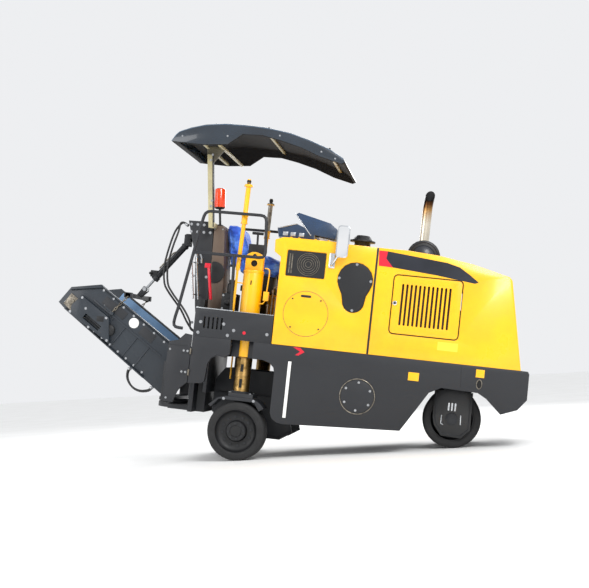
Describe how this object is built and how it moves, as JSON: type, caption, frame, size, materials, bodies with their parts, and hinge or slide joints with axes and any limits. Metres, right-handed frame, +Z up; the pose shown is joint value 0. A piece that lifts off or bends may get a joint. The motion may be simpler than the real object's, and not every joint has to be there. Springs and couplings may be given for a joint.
{
  "type": "wheeled cold planer milling machine",
  "caption": "Compact wheeled cold planer with a milling drum, rear lift columns, slewing discharge conveyor, canopy and engine hood.",
  "frame": {"origin": "centre of the machine's bounding box, on the floor under the wheels", "axes": "+X towards the engine end, +Y to the machine's left side, +Z up"},
  "size_m": [4.9216, 1.9, 3.5047],
  "materials": {
    "yellow_paint": "gloss yellow enamel",
    "black_paint": "satin anthracite enamel",
    "conveyor_paint": "satin blue-grey enamel",
    "canopy_shell": "gloss slate moulded shell",
    "ram_steel": "ground steel with a worn oily film",
    "cylinder_steel": "hard chrome rod",
    "exhaust_steel": "polished stainless, heat stained at the mouth",
    "mirror_shell": "bright shell",
    "tyre_rubber": "solid rubber",
    "seat_cloth": "bright blue woven seat cover",
    "seat_rubber": "moulded bellows",
    "belt_rubber": "ribbed conveyor belt",
    "hose_rubber": "wrapped hydraulic hose",
    "mesh_black": "black perforated cover",
    "cream_paint": "cream enamel",
    "brown_panel": "brown enamel",
    "console_plastic": "moulded dark grey",
    "beacon_lens": "orange lens",
    "cast_block": "plain block",
    "drum_steel": "worn steel with picks"
  },
  "bodies": {
    "chassis": {"main_frame": "black_paint", "rear_frame": "black_paint", "operator_platform": "black_paint", "rear_body": "yellow_paint", "engine_hood": "yellow_paint", "pear_grille_right": "mesh_black", "pear_grille_left": "mesh_black", "engine_block": "cast_block", "exhaust_stack": "exhaust_steel", "air_filter": "black_paint", "intake_hat": "black_paint", "conveyor_tower": "black_paint", "pillar_cover": "brown_panel", "handrail_right": "black_paint", "handrail_left": "black_paint", "seat_base": "seat_rubber", "seat_cushion": "seat_cloth", "seat_back": "seat_cloth", "joystick_console": "console_plastic", "instrument_console": "console_plastic", "mirror_right": "mirror_shell", "mirror_left": "mirror_shell", "canopy": "canopy_shell", "canopy_mast": "cream_paint", "beacon": "beacon_lens", "lift_sleeve_right": "yellow_paint", "lift_sleeve_left": "yellow_paint", "height_gauge_right": "yellow_paint", "height_gauge_left": "yellow_paint", "front_axle": "black_paint", "drum_housing": "black_paint", "tower_hose_1": "hose_rubber", "tower_hose_2": "hose_rubber"},
    "conveyor_swivel": {"conveyor_swivel": "black_paint"},
    "conveyor": {"conveyor_frame": "conveyor_paint", "conveyor_belt": "belt_rubber", "spreader_bar": "black_paint", "loop_hose_1": "hose_rubber", "loop_hose_2": "hose_rubber"},
    "cylinder_bracket": {"cylinder_bracket": "black_paint"},
    "cylinder_barrel": {"cylinder_barrel": "black_paint"},
    "cylinder_rod": {"cylinder_rod": "cylinder_steel"},
    "milling_drum": {"milling_drum": "drum_steel"},
    "grille_door_right": {"grille_door_right": "yellow_paint"},
    "rear_side_door_right": {"rear_side_door_right": "black_paint"},
    "rear_leg_right": {"rear_leg_right": "ram_steel"},
    "rear_wheel_right": {"rear_wheel_right": "tyre_rubber"},
    "front_knuckle_right": {"front_knuckle_right": "black_paint"},
    "front_wheel_right": {"front_wheel_right": "tyre_rubber"},
    "side_skid_right": {"side_skid_right": "black_paint"},
    "grille_door_left": {"grille_door_left": "yellow_paint"},
    "rear_side_door_left": {"rear_side_door_left": "black_paint"},
    "rear_leg_left": {"rear_leg_left": "ram_steel"},
    "rear_wheel_left": {"rear_wheel_left": "tyre_rubber"},
    "front_knuckle_left": {"front_knuckle_left": "black_paint"},
    "front_wheel_left": {"front_wheel_left": "tyre_rubber"},
    "side_skid_left": {"side_skid_left": "black_paint"}
  },
  "joints": [
    {"name": "rear_lift_right", "type": "slide", "parent": "chassis", "child": "rear_leg_right", "axis": [0.165, 0, 0.9863], "range_m": [0, 0.32]},
    {"name": "rear_wheel_right_spin", "type": "hinge", "parent": "rear_leg_right", "child": "rear_wheel_right", "pos_m": [-0.5128, -0.735, 0.3], "axis": [0, 1, 0], "continuous": true},
    {"name": "steer_right", "type": "hinge", "parent": "chassis", "child": "front_knuckle_right", "pos_m": [1.71965, -0.4, 0.5959], "axis": [0.165, 0, 0.9863], "range_deg": [-28, 28]},
    {"name": "front_wheel_right_spin", "type": "hinge", "parent": "front_knuckle_right", "child": "front_wheel_right", "pos_m": [1.67014, -0.4, 0.30001], "axis": [0, 1, 0], "continuous": true},
    {"name": "grille_door_right_hinge", "type": "hinge", "parent": "chassis", "child": "grille_door_right", "pos_m": [1.82703, -0.85, 1.38905], "axis": [0.165, 0, 0.9863], "range_deg": [0, 110]},
    {"name": "rear_side_door_right_hinge", "type": "hinge", "parent": "chassis", "child": "rear_side_door_right", "pos_m": [-0.94973, -0.85, 1.0426], "axis": [0.165, 0, 0.9863], "range_deg": [0, 100]},
    {"name": "side_skid_right_float", "type": "slide", "parent": "chassis", "child": "side_skid_right", "axis": [0.165, 0, 0.9863], "range_m": [0, 0.19]},
    {"name": "rear_lift_left", "type": "slide", "parent": "chassis", "child": "rear_leg_left", "axis": [0.165, 0, 0.9863], "range_m": [0, 0.32]},
    {"name": "rear_wheel_left_spin", "type": "hinge", "parent": "rear_leg_left", "child": "rear_wheel_left", "pos_m": [-0.73586, 0.735, 0.3], "axis": [0, 1, 0], "continuous": true},
    {"name": "steer_left", "type": "hinge", "parent": "chassis", "child": "front_knuckle_left", "pos_m": [1.71965, 0.4, 0.5959], "axis": [0.165, 0, 0.9863], "range_deg": [-28, 28]},
    {"name": "front_wheel_left_spin", "type": "hinge", "parent": "front_knuckle_left", "child": "front_wheel_left", "pos_m": [1.67014, 0.4, 0.30001], "axis": [0, 1, 0], "continuous": true},
    {"name": "grille_door_left_hinge", "type": "hinge", "parent": "chassis", "child": "grille_door_left", "pos_m": [1.82703, 0.85, 1.38905], "axis": [0.165, 0, 0.9863], "range_deg": [-110, 0]},
    {"name": "rear_side_door_left_hinge", "type": "hinge", "parent": "chassis", "child": "rear_side_door_left", "pos_m": [-0.94973, 0.85, 1.0426], "axis": [0.165, 0, 0.9863], "range_deg": [-100, 0]},
    {"name": "side_skid_left_float", "type": "slide", "parent": "chassis", "child": "side_skid_left", "axis": [0.165, 0, 0.9863], "range_m": [0, 0.19]},
    {"name": "drum_spin", "type": "hinge", "parent": "chassis", "child": "milling_drum", "pos_m": [-0.4008, 0.05, 0.54518], "axis": [0, 1, 0], "continuous": true},
    {"name": "conveyor_slew", "type": "hinge", "parent": "chassis", "child": "conveyor_swivel", "pos_m": [-1.323, 0, 0.66908], "axis": [0.165, 0, 0.9863], "range_deg": [-22, 22]},
    {"name": "conveyor_lift", "type": "hinge", "parent": "conveyor_swivel", "child": "conveyor", "pos_m": [-1.26853, 0, 0.99456], "axis": [0, 1, 0], "range_deg": [-15, 6]},
    {"name": "bracket_slew", "type": "hinge", "parent": "chassis", "child": "cylinder_bracket", "pos_m": [-1.04324, 0, 2.34084], "axis": [0.165, 0, 0.9863], "range_deg": [-22, 22]},
    {"name": "cylinder_tilt", "type": "hinge", "parent": "cylinder_bracket", "child": "cylinder_barrel", "pos_m": [-1.08762, 0, 2.34826], "axis": [0, 1, 0], "range_deg": [-6, 9]},
    {"name": "cylinder_stroke", "type": "slide", "parent": "cylinder_barrel", "child": "cylinder_rod", "axis": [-0.728, 0, -0.6856], "range_m": [-0.13, 0.24]}
  ],
  "couplings": [
    {"joint": "steer_left", "follows": "steer_right", "ratio": 1},
    {"joint": "bracket_slew", "follows": "conveyor_slew", "ratio": 1},
    {"joint": "cylinder_tilt", "follows": "conveyor_lift", "ratio": -0.527},
    {"joint": "cylinder_stroke", "follows": "conveyor_lift", "m_per_rad": -0.862}
  ]
}
